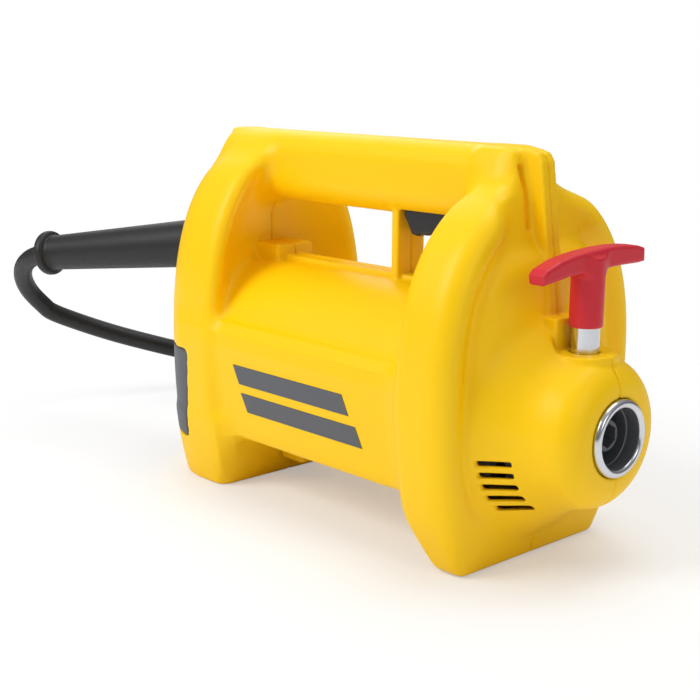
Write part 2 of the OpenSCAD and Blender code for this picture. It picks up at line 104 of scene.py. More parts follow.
def spline(points, n):
    """A smooth open line through points, with n steps between neighbours."""
    p = [np.array(q, float) for q in points]
    last = len(p) - 1

    def at(i):
        return p[max(0, min(last, i))]

    out = []
    for i in range(last):
        a, b, c, d = at(i - 1), at(i), at(i + 1), at(i + 2)
        for j in range(n):
            t = j / n
            out.append(0.5 * (2 * b + (c - a) * t + (2 * a - 5 * b + 4 * c - d) * t * t
                              + (3 * b - a - 3 * c + d) * t ** 3))
    out.append(p[-1])
    return out


class Field:
    """A box of points for signed distances, with the shapes that are drawn on it."""

    def __init__(self, lo, hi, step):
        self.lo, self.step = np.array(lo, float), step
        ax = [np.arange(a, b + step * 0.5, step) for a, b in zip(lo, hi)]
        self.x, self.y, self.z = ax[0][:, None, None], ax[1][None, :, None], ax[2][None, None, :]
        self.xx, self.zz = ax[0], ax[2]
        self.y2, self.z2 = ax[1][:, None], ax[2][None, :]

    def section(self, inset, points):
        """A body whose section, as (inset, x) points, is swept round an outline given by its inset field in y and z."""
        grid = np.arange(-40, 130, 0.5)
        table = poly(points, grid[None, :], self.xx[:, None])
        flat = inset.ravel()
        rows = np.stack([np.interp(flat, grid, row) for row in table])
        return rows.reshape(len(self.xx), *inset.shape).astype(np.float32)

    def plate_y(self, points, half, k):
        """A polygon in x and z, drawn out sideways to half on both sides."""
        d = poly(points, self.xx[:, None], self.zz[None, :]).astype(np.float32)
        return smax(d[:, None, :], np.abs(self.y) - half, k)

    def box(self, x, y, z, r):
        """A box given by its ranges, with edges rounded by r."""
        q = [np.abs(a - (lo + hi) / 2) - (hi - lo) / 2 + r
             for a, (lo, hi) in ((self.x, x), (self.y, y), (self.z, z))]
        out = np.sqrt(sum(np.maximum(a, 0) ** 2 for a in q))
        return out + np.minimum(np.maximum(np.maximum(q[0], q[1]), q[2]), 0) - r

    def rod_z(self, x, y, r, z0, z1, k):
        return smax(np.sqrt((self.x - x) ** 2 + (self.y - y) ** 2) - r,
                    np.abs(self.z - (z0 + z1) / 2) - (z1 - z0) / 2, k)

    def rod_y(self, x, z, r, y0, y1, k):
        return smax(np.sqrt((self.x - x) ** 2 + (self.z - z) ** 2) - r,
                    np.abs(self.y - (y0 + y1) / 2) - (y1 - y0) / 2, k)

    def mesh(self, d, name):
        """The surface of a field as a mesh object, in metres."""
        d = np.broadcast_to(d, (self.x.size, self.y.size, self.z.size)).astype(np.float32)
        g = openvdb.FloatGrid(1e3)
        g.copyFromArray(np.ascontiguousarray(d))
        g.transform = openvdb.createLinearTransform(voxelSize=1.0)
        pts, tris, quads = g.convertToPolygons(isovalue=0.0, adaptivity=0.0)
        pts = (pts * self.step + self.lo) * MM
        faces = [*map(tuple, quads[:, ::-1].tolist()), *map(tuple, tris[:, ::-1].tolist())]
        me = bpy.data.meshes.new(name)
        me.from_pydata(pts.tolist(), [], faces)
        o = add(name, me)
        a, b, c = (pts[quads[:, i]] for i in range(3))
        if (a * np.cross(b, c)).sum() > 0:
            me.flip_normals()
        me.shade_smooth()
        return o


def add(name, me):
    o = bpy.data.objects.new(name, me)
    bpy.context.scene.collection.objects.link(o)
    return o


# ---------------------------------------------------------------- housing outlines, mm
def egg(a, zc, up, low, q):
    """Half width a at height zc, up above it and low below it; q is the roundness. Closed, as (y, z)."""
    t = np.linspace(0, 2 * np.pi, 160, endpoint=False)
    c, s = np.cos(t), np.sin(t)
    y = a * np.sign(c) * np.abs(c) ** (2 / q)
    z = zc + np.where(s > 0, up, low) * np.sign(s) * np.abs(s) ** (2 / q)
    return np.stack([y, z], 1)


REAR = egg(65, 90, 120, 142.5, 2.3)
FRONT = egg(79, 104, 98, 139, 2.2)
MID = [(-50, 33), (50, 33), (56.5, 37), (58.2, 43), (64, 93), (63, 101), (59.5, 107), (50, 109),
       (-50, 109), (-59.5, 107), (-63, 101), (-64, 93), (-58.2, 43), (-56.5, 37)]
NOSE = [(66, 99), (65, 104), (61.5, 110), (57, 115), (53, 119.5), (46.8, 127.5), (42.6, 135.5), (40.2, 143.5),
        (38.2, 149), (34, 153.8), (28.4, 156.8), (21.2, 157.8)]
ARCH = [(-99.5, -3), (-93, 17), (-86, 28), (-78, 33), (46, 33), (61, 35), (70, 29), (77, 17), (81, 7), (84, -3)]
REAR_R = 39
XR = -160.5                      # back of the rear bulkhead
WALL = 3.2
VENT_TOP, VENT_PITCH = 63.8, 6.65
SCREWS = [(-142, 200), (-40, 205), (92, 203), (-104, 142.6), (-82, 23), (92.5, 16), (92.5, 168)]
GUARD = np.array([-0.9322, -0.3393, -0.126])
GUARD_AT = np.array([-160.0, 0.0, 144.0])


def rear_body(f, dish=True):
    """The rear bulkhead: a wing with a rounded back and a dished front."""
    inset = -poly(REAR, f.y2, f.z2)
    t = np.linspace(0, np.pi / 2, 16)
    back = [(REAR_R - REAR_R * math.cos(a), XR + REAR_R - REAR_R * math.sin(a)) for a in t]
    front = [(120, -116), (60, -115.8), (44, -115.2), (34, -113.6), (26, -111), (19, -107.2), (13.5, -102.8),
             (9.5, -99.4), (6.5, -97.9), (4, -98.1), (1.6, -100), (0.4, -103), (0, -107)]
    if not dish:
        front = [(120, -88), (8, -88), (0, -96)]
    return f.section(inset, [*spline(front, 4 if dish else 1), *back, (120, XR)])


def solid(f):
    """The closed outside shape of the two housing halves together."""
    x, z, ay = f.x, f.z, np.abs(f.y)
    rear = rear_body(f)
    foot = smax(rear_body(f, False), z - 46, 6)
    rear = smin(rear, foot, 5)
    # barrel and side walls
    mid = poly(MID, f.y2, f.z2)
    barrel = np.sqrt(f.y2 ** 2 + (f.z2 - 80.3) ** 2) - 60.5
    mid2 = smin(mid, barrel, 3.5)
    rail = poly([(-8, 120), (8, 120), (7, 143.2), (-7, 143.2)], f.y2, f.z2)
    mid2 = smin(mid2, rail, 3).astype(np.float32)
    body = smax(mid2[None], np.abs(x + 24) - 104, 3)
    d = smin(body, rear, 9)
    # front bulkhead
    out_f = poly(FRONT, f.y2, f.z2)
    back = [(100, 73.5), (8, 73.5), (4.5, 74.3), (2, 76.5), (0.4, 79.5), (0, 84)]
    rim = [(0, 96), (0.8, 101), (3.2, 105.6), (7, 108.8), (11, 109.8)]
    groove = f.section(-out_f, [*back, *spline([*rim, (14.5, 109), (18, 106.8), (22, 104.6),
                                                (27, 104), (100, 104)], 4)])
    plain = f.section(-out_f, [*back, *spline([*rim, (16, 110), (100, 110)], 4)])
    w = np.clip((z - 22) / 34, 0, 1)
    w = w * w * (3 - 2 * w)
    plate = plain * (1 - w) + groove * w
    # the rim dies out beside the fin
    bare = f.section(-out_f, [*back, (0, 90), (1.5, 95), (5, 98), (10, 99.5), (100, 99.5)])
    wz, wy = np.clip((z - 166) / 20, 0, 1), np.clip((42 - ay) / 24, 0, 1)
    w = wz * wz * (3 - 2 * wz) * wy * wy * (3 - 2 * wy)
    plate = plate * (1 - w) + bare * w
    plate = smax(plate, smax(out_f, -f.z2, 5)[None], 1.5)
    plate = smax(plate, (x - 104 - 0.2 * z) * 0.98, 3)
    arc = [(20.5, 99), (22, 104), (25, 108), (30, 110.6), (38, 112.2), (50, 113), (100, 113.4)]
    dome = f.section(-out_f, [(20, 90), *spline(arc, 4), (100, 90)])
    dome = smax(smax(dome, 50 - z, 10), z - 172, 16)
    plate = smin(plate, dome, 3)
    radius = np.sqrt(f.y2 ** 2 + (f.z2 - AXIS_Z) ** 2)
    nose = f.section(radius, [(0, 80), (66, 80), *spline(NOSE, 5), (0, 157.8)])
    plate = smin(plate, nose, 4)
    d = smin(d, plate, 24)
    # grip, with its narrow ends
    gy, gz = np.abs(f.y2) - 16.5 + 14.5, np.abs(f.z2 - 198.75) - 21.25 + 14.5
    grip = np.sqrt(np.maximum(gy, 0) ** 2 + np.maximum(gz, 0) ** 2) + np.minimum(np.maximum(gy, gz), 0) - 14.5
    grip = smax(grip[None], np.abs(x + 28) - 118, 8)
    d = smin(d, grip, 13)
    tail = f.plate_y([(-130, 186), (-152, 190), (-152, 211), (-151, 215.5), (-147.5, 218.6),
                      (-143, 219.5), (-130, 219.5)], 6, 4)
    d = smin(d, tail, 5)
    fin = f.plate_y([(84, 219), (98, 218.4), (103.5, 216.8), (106.4, 212.5), (112.5, 166),
                     (116, 134), (116, 104), (84, 104)], 5.6, 1.6)
    web = poly([(-12.5, 217), (12.5, 217), (14, 206), (17, 198), (24, 191), (34, 182), (36, 160),
                (-36, 160), (-34, 182), (-24, 191), (-17, 198), (-14, 206)], f.y2, f.z2).astype(np.float32)[None]
    web = smax(smax(web, (x - 95 - (213 - z) * 0.15) * 0.98, 4), 70 - x, 4)
    d = smin(d, web, 7)
    d = smin(d, fin, 2.5)
    # shallow slit on each side of the fin
    slit = smax(smax(np.abs(ay - 9.4) - 1.8, np.abs(z - 194) - 17, 1.5), 86 - x, 1)
    d = smax(d, -smax(slit, -(d + 3), 0.4), 0.6)
    # post, screw blocks, boss and rib
    d = smin(d, f.box((3.8, 9.4), (-11, 11), (136, 186), 1.2), 2.5)
    d = smin(d, f.box((-120, -92.3), (-14, 14), (120, 149.8), 1.2), 1.2)
    d = smin(d, f.rod_z(LOCK_X, 0, 17.5, 70, 118.5, 0.7), 1)
    d = smax(d, -f.rod_z(LOCK_X, 0, 16.8, 118.4, 150, 0.5), 0.8)
    d = smin(d, f.box((104, 124.5), (-11.5, 11.5), (95, 134.6), 0.7), 0.8)
    # the space between the two feet
    d = smax(d, -f.plate_y(ARCH, 120, 0.1), 7)
    d = smin(d, f.box((-92, -72), (-12.5, 12.5), (12, 50), 2), 2)
    d = smax(smax(d, z - 219.9, 1), ay - 78.9, 0.5)
    return smax(d, -z, 2)


COVER_XZ = [(-220, 86), (-123, 86), (-120.2, 85.3), (-119.2, 83), (-124.6, 31.2),
            (-125.6, 29.2), (-128, 28.5), (-220, 28.5)]


def cover_zone(f, grow):
    """The space that the rear cover takes, seen from the side and grown by a margin."""
    return (poly(COVER_XZ, f.xx[:, None], f.zz[None, :]) - grow).astype(np.float32)[:, None, :]


def rod_along(f, at, way, r, s0, s1):
    """A round rod along a slanted line."""
    v = [f.x - at[0], f.y - at[1], f.z - at[2]]
    s = v[0] * way[0] + v[1] * way[1] + v[2] * way[2]
    off = np.sqrt(np.maximum(sum((v[i] - s * way[i]) ** 2 for i in range(3)), 0))
    return smax(off - r, np.abs(s - (s0 + s1) / 2) - (s1 - s0) / 2, 0.5)


def housing():
    step = 1.0
    made = []
    for side in (-1, 1):
        lo, hi = ((-164, -82, -3), (164, 2, 223)) if side < 0 else ((-164, -2, -3), (164, 82, 223))
        f = Field(lo, hi, step)
        d = solid(f)
        if side > 0:
            # round pad about the front screw of the grip
            d = smin(d, f.rod_y(92, 203, 8, 0, 15, 1), 2)
        inner = d + WALL
        # round collar at the cable guard
        d = smin(d, rod_along(f, GUARD_AT, GUARD, 19.5, -30, 1.5), 6)
        d = smax(d, -inner, 0.8)
        d = smax(d, -cover_zone(f, 0.5), 0.7)
        d = smax(d, -rod_along(f, GUARD_AT, GUARD, 16.9, -19, 60), 0.8)
        ring = np.sqrt(f.y ** 2 + (f.z - AXIS_Z) ** 2)
        d = smax(d, -smax(ring - 20.8, 138 - f.x, 0.5), 0.6)
        d = smax(d, -f.rod_z(LOCK_X, 0, 7.7, 88, 140, 0.5), 0.6)
        d = smax(d, -f.box((9.5, 77.5), (-9.8, 9.8), (170, 186), 1), 1)
        for i in range(5):
            z0 = VENT_TOP - i * VENT_PITCH
            slot = f.box((112.4 + (i > 3), 126.4), (-80, -20), (z0, z0 + 3), 0.8)
            slot = np.minimum(slot, f.box((112.4 + (i > 3), 126.4), (20, 80), (z0, z0 + 3), 0.8))
            d = smax(d, -slot, 0.5)
        if side > 0:
            for sx, sz in SCREWS:
                short = sx in (-104, -82)
                d = smax(d, -f.rod_y(sx, sz, 4.9, 8, 16 if short else 100, 0.5), 0.8)
        d = smax(d, (f.y if side < 0 else -f.y) + 0.03, 0.4)
        o = f.mesh(d, "shell_right" if side < 0 else "shell_left")
        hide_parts("housing_right" if side < 0 else "housing_left")
        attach(o, "housing")
        made.append(o)
    return made


def rear_cover():
    step = 0.8
    f = Field((-162, -68, 24), (-112, 68, 90), step)
    outer = smin(rear_body(f), smax(rear_body(f, False), f.z - 46, 6), 5)
    d = smax(outer, -(outer + 3), 0.8)
    d = smax(d, cover_zone(f, -0.25), 1.0)
    for i in range(7):
        d = smax(d, -f.box((-170, -150), (-21, 21), (34 + i * 7, 37.2 + i * 7), 1.3), 0.8)
    o = f.mesh(d, "back_cover")
    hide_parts("rear_cover")
    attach(o, "housing")
    return o


# ---------------------------------------------------------------- turned and swept pieces, mm
def basis(way):
    w = Vector(way).normalized()
    u = w.cross(Vector((0, 0, 1))).normalized()
    return np.array(u), np.array(w.cross(u)), np.array(w)


def lathe(name, points, at, way, segments=96, closed=False):
    """Points (distance along the axis, radius) turned about an axis; both ends are closed unless the section is."""
    u, v, w = basis(way)
    at = np.array(at, float)
    pts = np.array(points, float)
    t = np.linspace(0, 2 * np.pi, segments, endpoint=False)
    ring = np.cos(t)[:, None] * u + np.sin(t)[:, None] * v
    verts = (at + pts[:, 0, None, None] * w + pts[:, 1, None, None] * ring[None]).reshape(-1, 3) * MM
    n, m = len(pts), segments
    faces = [(i * m + k, i * m + (k + 1) % m, (i + 1) % n * m + (k + 1) % m, (i + 1) % n * m + k)
             for i in range(n if closed else n - 1) for k in range(m)]
    if not closed:
        faces += [tuple(range(m - 1, -1, -1)), tuple((n - 1) * m + k for k in range(m))]
    me = bpy.data.meshes.new(name)
    me.from_pydata(verts.tolist(), [], faces)
    me.validate()
    o = add(name, me)
    outward(me)
    return o


def outward(me):
    """Faces look outwards and are smooth, with creases kept where they are sharp."""
    bm = bmesh.new()
    bm.from_mesh(me)
    bmesh.ops.recalc_face_normals(bm, faces=bm.faces)
    bm.to_mesh(me)
    bm.free()
    me.shade_smooth()
    me.set_sharp_from_angle(angle=math.radians(40))


def tube(name, line, radius, sides=20):
    """A round tube along a line of points, with a ring at each and without twist."""
    line = np.array(line, float)
    way = np.gradient(line, axis=0)
    way /= np.linalg.norm(way, axis=1)[:, None]
    u = np.cross(way[0], (0, 0, 1))
    verts = []
    for p, w in zip(line, way):
        u = u - (u @ w) * w
        u /= np.linalg.norm(u)
        v = np.cross(w, u)
        for k in range(sides):
            a = 2 * np.pi * k / sides
            verts.append((p + radius * (math.cos(a) * u + math.sin(a) * v)) * MM)
    n, m = len(line), sides
    faces = [(i * m + k, i * m + (k + 1) % m, (i + 1) * m + (k + 1) % m, (i + 1) * m + k)
             for i in range(n - 1) for k in range(m)]
    faces += [tuple(range(m - 1, -1, -1)), tuple((n - 1) * m + k for k in range(m))]
    me = bpy.data.meshes.new(name)
    me.from_pydata([tuple(q) for q in verts], [], faces)
    o = add(name, me)
    outward(me)
    return o


def rounded(points, radius=1.0, n=4):
    """A polyline with its inner corners rounded."""
    p = [np.array(q, float) for q in points]
    out = [p[0]]
    for a, b, c in zip(p, p[1:], p[2:]):
        ra = min(radius, np.linalg.norm(a - b) / 2.01)
        rc = min(radius, np.linalg.norm(c - b) / 2.01)
        s0, s1 = b + (a - b) / np.linalg.norm(a - b) * ra, b + (c - b) / np.linalg.norm(c - b) * rc
        for i in range(n + 1):
            t = i / n
            out.append((1 - t) ** 2 * s0 + 2 * t * (1 - t) * b + t * t * s1)
    return [*out, p[-1]]


# ---------------------------------------------------------------- the cord
CABLE_R = 6.75
GUARD_LEN = 157
BEND_R = 52
BEND_WAY = np.array([-0.1581, 0.6949, -0.7015])
COIL = np.array([-221.0, 168.0])
COIL_R = 75.0
TURNS, PER_TURN = 9, 36          # whole turns in the coil, and points on each
PLUG_Z = 61                      # the plug lies on the coil


def on_guard(s):
    return GUARD_AT + GUARD * s


def on_bend(a):
    a = math.radians(a)
    return on_guard(GUARD_LEN - 3) + BEND_R * (math.sin(a) * GUARD + (1 - math.cos(a)) * BEND_WAY)


def cord_line():
    """Out of the guard, back in one bend, down to the floor behind the unit, and into the coil."""
    free = [*(on_guard(s) for s in (-18, 20, 60, 100, 130, GUARD_LEN - 3)),
            *(on_bend(a) for a in (20, 40, 60, 80, 100, 112)),
            (-354, 5, 57), (-343, 29, 47), (-329, 57, 37), (-318, 87, 27), (-312, 115, 17.5),
            (-309.8, 142, 10), (-309.5, 168, 6.8)]
    pitch = 2 * CABLE_R + 0.1
    layers = []
    for turn in range(TURNS):
        low, k = divmod(turn, 3)
        k = k if low % 2 == 0 else 2 - k
        layers.append((COIL_R + (1 - k) * pitch, CABLE_R + 0.05 + low * pitch))
    layers.append((COIL_R - pitch, CABLE_R + 0.05 + 3 * pitch))
    coil = []
    for i in range(int((TURNS + 0.5) * PER_TURN) + 1):
        at = i / PER_TURN
        if at < TURNS:
            k = int(at)
            s = np.clip((at - k - 0.8) / 0.2, 0, 1)
        else:
            k, s = TURNS, (at - TURNS) / 0.5
        s = s * s * (3 - 2 * s)
        (r0, z0), (r1, z1) = layers[k], layers[k + 1] if k < TURNS else (COIL_R, PLUG_Z)
        r, z = r0 + (r1 - r0) * s, z0 + (z1 - z0) * s
        a = math.pi - at * 2 * math.pi
        coil.append((COIL[0] + r * math.cos(a), COIL[1] + r * math.sin(a), z))
    plug = [(COIL[0] + COIL_R, COIL[1] - y, PLUG_Z) for y in (8, 16, 24, 32)]
    return [*spline(free, 5)[:-1], *spline([*coil, *plug], 1)]


def cord():
    line = cord_line()
    o = tube("mains_cable", line, CABLE_R)
    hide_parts("cable", "cable_coil", "cable_tail")
    sleeve = [(-18, 6.9), (-18, 18.3), (-14.2, 18.4), (-14, 16.2), (18, 16.4),
              *[(21 + i * 12.9, 16.35 - i * 0.41) for i in range(10)],
              (148.6, 12.3), (149.6, 12.6), (150.2, 14), (151, 15.3), (152.4, 15.8), (155, 15.8),
              (156.4, 15.2), (157, 13.6), (157, 9.4), (155.4, 7.6), (152, 6.95)]
    guard = lathe("guard_sleeve", rounded(sleeve, 0.5, 2), GUARD_AT, GUARD, closed=True)
    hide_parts("cable_guard")
    body = [(0, 6.9), (0, 8.6), (2, 9),
            *[(4 + i * 4 + j, 9.4 + i * 0.35 - (0.9 if j in (1.2, 2.4) else 0))
              for i in range(6) for j in (0, 1.2, 2.4, 3.6)],
            (28, 11.8), (31, 13.2), (36, 16), (41, 18.6), (44, 19.3), (60, 19.3), (63, 18.8),
            (64.2, 17), (64.3, 1)]
    plug = lathe("mains_plug", body, (COIL[0] + COIL_R, COIL[1], PLUG_Z), (0, -1, 0))
    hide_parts("plug_body")
    tie = strap()
    for piece in (o, guard, plug, tie):
        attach(piece, "housing")
    return [o, guard, plug], [tie]


def strap():
    """A band round the coil's section, 14 mm wide."""
    half, low, high, thick = 22.6, 0.3, 42.2, 1.3
    corner = 6
    pts = []
    for cx, cz, a0 in ((half - corner, high - corner, 0), (-half + corner, high - corner, 90),
                       (-half + corner, low + corner, 180), (half - corner, low + corner, 270)):
        for i in range(7):
            a = math.radians(a0 + i * 15)
            pts.append((cx + corner * math.cos(a), cz + corner * math.sin(a), math.cos(a), math.sin(a)))
    turn = math.radians(-70)
    centre = np.array([COIL[0] + COIL_R * math.cos(turn), COIL[1] + COIL_R * math.sin(turn)])
    out = np.array([math.cos(turn), math.sin(turn)])
    side = np.array([-math.sin(turn), math.cos(turn)])
    rows = [(-7, 0.25), (-6.6, 0), (6.6, 0), (7, 0.25),
            (7, thick - 0.25), (6.6, thick), (-6.6, thick), (-7, thick - 0.25)]
    verts, n = [], len(pts)
    for u, z, nu, nz in pts:
        for w, t in rows:
            q = centre + out * (u + nu * (t - thick)) + side * w
            verts.append((q[0] * MM, q[1] * MM, max(0.0002, (z + nz * (t - thick)) * MM)))
    m = len(rows)
    faces = [(i * m + k, i * m + (k + 1) % m, (i + 1) % n * m + (k + 1) % m, (i + 1) % n * m + k)
             for i in range(n) for k in range(m)]
    me = bpy.data.meshes.new("coil_strap")
    me.from_pydata(verts, [], faces)
    o = add("coil_strap", me)
    outward(me)
    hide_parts("coil_tie")
    return o


# ---------------------------------------------------------------- knob, socket, trigger
def knob():
    f = Field((LOCK_X - 14, -45, 128), (LOCK_X + 14, 45, 175), 0.5)
    upper = [(-41.4, 161.6), (-38.5, 164.2), (-28, 167.6), (-17, 169.4), (-6, 170.5), (5, 171.2),
             (17, 171.4), (28, 170.7), (36, 169.8), (41, 168.4)]
    lower = [(41.4, 161.2), (36, 160.8), (21, 160.9), (9, 160.4), (-9, 159.6), (-21, 159.2),
             (-36, 157.2), (-40.6, 156.6)]
    bar = poly([*upper, *lower], f.y2, f.z2).astype(np.float32)[None]
    bar = smax(bar, np.abs(f.x - LOCK_X) - 5.4, 2)
    stem = f.rod_z(LOCK_X, 0, 8.7, 131, 167, 1.4)
    d = smin(bar, stem, 4)
    d = smax(d, -f.rod_z(LOCK_X, 0, 7.6, 120, 145, 0.4), 0.8)
    d = smax(d, -f.rod_z(LOCK_X, 0, 4.5, 140, 155.5, 0.4), 0.4)
    o = f.mesh(d, "pull_knob")
    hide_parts("t_handle")
    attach(o, "lock_knob")
    return o


def socket():
    ring = [(117.7, 9.6), (117.7, 20.4), (157.4, 20.5), (158.6, 20.45), (159.6, 20.0), (160.25, 19.2),
            (160.45, 18.2), (160.3, 17.2), (159.8, 16.4), (159.2, 15.95), (158, 15.9), (151.6, 15.9),
            (151.2, 15.3), (123.6, 15.3), (123.6, 9.6)]
    o = lathe("socket_ring", ring, (0, 0, AXIS_Z), (1, 0, 0), 128, closed=True)
    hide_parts("socket_sleeve")
    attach(o, "housing")
    return o


def spring():
    """The locking pin's coil spring."""
    line = []
    turns, per_turn = 9, 24
    for i in range(turns * per_turn + 1):
        t = i / (turns * per_turn)
        a = 2 * math.pi * turns * t
        line.append((LOCK_X + 5.12 * math.cos(a), 5.12 * math.sin(a), 111.55 + 25.3 * t))
    o = tube("pin_spring", line, 0.37, 8)
    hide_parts("lock_spring")
    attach(o, "housing")
    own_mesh(o)
    return o


def finger_lever():
    f = Field((6, -11, 163), (79, 11, 191), 0.5)
    side = [(11, 177.6), (17.6, 166.8), (21, 166.2), (31, 167.4), (43, 168), (55, 167.4), (65, 172), (73, 178),
            (75, 184), (72.5, 187.6), (68, 188.2), (62, 187.9), (22, 187.9), (16, 184), (12, 181.5)]
    d = smax(poly(side, f.xx[:, None], f.zz[None, :]).astype(np.float32)[:, None, :], np.abs(f.y) - 9, 2.5)
    for i in range(5):
        d = smax(d, -f.rod_y(26 + i * 6, 165.6, 2.4, -12, 12, 0.2), 0.8)
    d = smax(d, -f.rod_y(69.5, 183.5, 2.1, -12, 12, 0.2), 0.3)
    o = f.mesh(d, "finger_lever")
    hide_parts("trigger")
    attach(o, "trigger")
    return o


def bars(shells):
    """Two plain slanting bars printed on each side, laid on the moulding."""
    made = []
    for s, shell in ((-1, shells[0]), (1, shells[1])):
        tree = BVHTree.FromObject(shell, bpy.context.evaluated_depsgraph_get())
        verts, faces = [], []
        for k in (0, 1):
            top, low = 84 - 17 * k, 72.5 - 17 * k
            ends = (-76 + 5 * k, -71.5 + 5 * k), (20 + 9 * k, 24.5 + 9 * k)
            nu, nv = 40, 5
            start = len(verts)
            for skin in (0.38, -0.5):
                for j in range(nv):
                    for i in range(nu):
                        t = j / (nv - 1)
                        x = ((ends[0][0] * (1 - t) + ends[0][1] * t) * (1 - i / (nu - 1))
                             + (ends[1][0] * (1 - t) + ends[1][1] * t) * i / (nu - 1))
                        z = top + (low - top) * t
                        hit = tree.ray_cast(Vector((x * MM, s * 0.2, z * MM)), Vector((0, -s, 0)))[0]
                        q = hit if hit is not None else Vector((x * MM, s * 0.0625, z * MM))
                        verts.append((q.x, q.y + s * skin * MM, q.z))
            for layer in (0, 1):
                for j in range(nv - 1):
                    for i in range(nu - 1):
                        a = start + layer * nu * nv + j * nu + i
                        faces.append((a, a + 1, a + nu + 1, a + nu))
            edge = [*range(nu), *(j * nu + nu - 1 for j in range(1, nv)),
                    *(nu * (nv - 1) + i for i in range(nu - 2, -1, -1)),
                    *(j * nu for j in range(nv - 2, 0, -1))]
            for a, b in zip(edge, edge[1:] + edge[:1]):
                faces.append((start + a, start + b, start + nu * nv + b, start + nu * nv + a))
        me = bpy.data.meshes.new("print_right" if s < 0 else "print_left")
        me.from_pydata([tuple(v) for v in verts], [], faces)
        o = add(me.name, me)
        outward(me)
        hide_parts("side_bars_right" if s < 0 else "side_bars_left")
        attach(o, "housing")
        made.append(o)
    return made


# ---------------------------------------------------------------- materials
def material(name, colour, rough, metal=0.0, vary=0.06, grain=0.0, grain_scale=2500.0,
             blotch=30.0, rough_vary=0.08, edge=0.0, brushed=None, specular=0.5):
    """A surface with its own cloudiness, grain and gloss changes; when edge is set, a painted highlight lightens its
    convex edges.
    """
    m = bpy.data.materials.new(name)
    m.use_nodes = True
    n, link = m.node_tree.nodes, m.node_tree.links.new
    b = n["Principled BSDF"]
    b.inputs["Metallic"].default_value = metal
    b.inputs["Specular IOR Level"].default_value = specular
    pos = n.new("ShaderNodeTexCoord")
    cloud = n.new("ShaderNodeTexNoise")
    cloud.inputs["Scale"].default_value = blotch
    cloud.inputs["Detail"].default_value = 4
    link(pos.outputs["Object"], cloud.inputs["Vector"])
    ramp = n.new("ShaderNodeMix")
    ramp.data_type = "RGBA"
    c = np.array(colour)
    ramp.inputs["A"].default_value = (*np.clip(c * (1 - vary), 0, 1), 1)
    ramp.inputs["B"].default_value = (*np.clip(c * (1 + vary), 0, 1), 1)
    link(cloud.outputs["Fac"], ramp.inputs["Factor"])
    base = ramp.outputs["Result"]
    # painted highlight: convex edges, picked out by pointiness, get a lighter, whiter tint of the colour
    if edge:
        geo = n.new("ShaderNodeNewGeometry")
        k = n.new("ShaderNodeMapRange")
        k.inputs["From Min"].default_value, k.inputs["From Max"].default_value = 0.53, 0.62
        link(geo.outputs["Pointiness"], k.inputs["Value"])
        edge_highlight = n.new("ShaderNodeMix")
        edge_highlight.data_type = "RGBA"
        edge_highlight.inputs["B"].default_value = (*np.clip(c * 1.25 + 0.04, 0, 1), 1)
        amount = n.new("ShaderNodeMath")
        amount.operation = "MULTIPLY"
        amount.inputs[1].default_value = edge
        link(k.outputs["Result"], amount.inputs[0])
        link(amount.outputs[0], edge_highlight.inputs["Factor"])
        link(base, edge_highlight.inputs["A"])
        base = edge_highlight.outputs["Result"]
    link(base, b.inputs["Base Color"])
    r = n.new("ShaderNodeMapRange")
    r.inputs["To Min"].default_value = rough - rough_vary
    r.inputs["To Max"].default_value = rough + rough_vary
    fine = n.new("ShaderNodeTexNoise")
    fine.inputs["Scale"].default_value = blotch * 9
    fine.inputs["Detail"].default_value = 3
    link(pos.outputs["Object"], fine.inputs["Vector"])
    link(fine.outputs["Fac"], r.inputs["Value"])
    link(r.outputs["Result"], b.inputs["Roughness"])
    if grain:
        g = n.new("ShaderNodeTexNoise")
        g.inputs["Scale"].default_value = grain_scale
        g.inputs["Detail"].default_value = 2
        if brushed:
            mp = n.new("ShaderNodeMapping")
            mp.inputs["Scale"].default_value = brushed
            link(pos.outputs["Object"], mp.inputs["Vector"])
            link(mp.outputs["Vector"], g.inputs["Vector"])
        else:
            link(pos.outputs["Object"], g.inputs["Vector"])
        bump = n.new("ShaderNodeBump")
        bump.inputs["Strength"].default_value = grain
        bump.inputs["Distance"].default_value = 0.0002
        link(g.outputs["Fac"], bump.inputs["Height"])
        link(bump.outputs["Normal"], b.inputs["Normal"])
    return m


def srgb(r, g, b):
    """A display colour, 0 to 255, as linear light."""
    return tuple(((v / 255 + 0.055) / 1.055) ** 2.4 if v > 10 else v / 255 / 12.92
                 for v in (r, g, b))


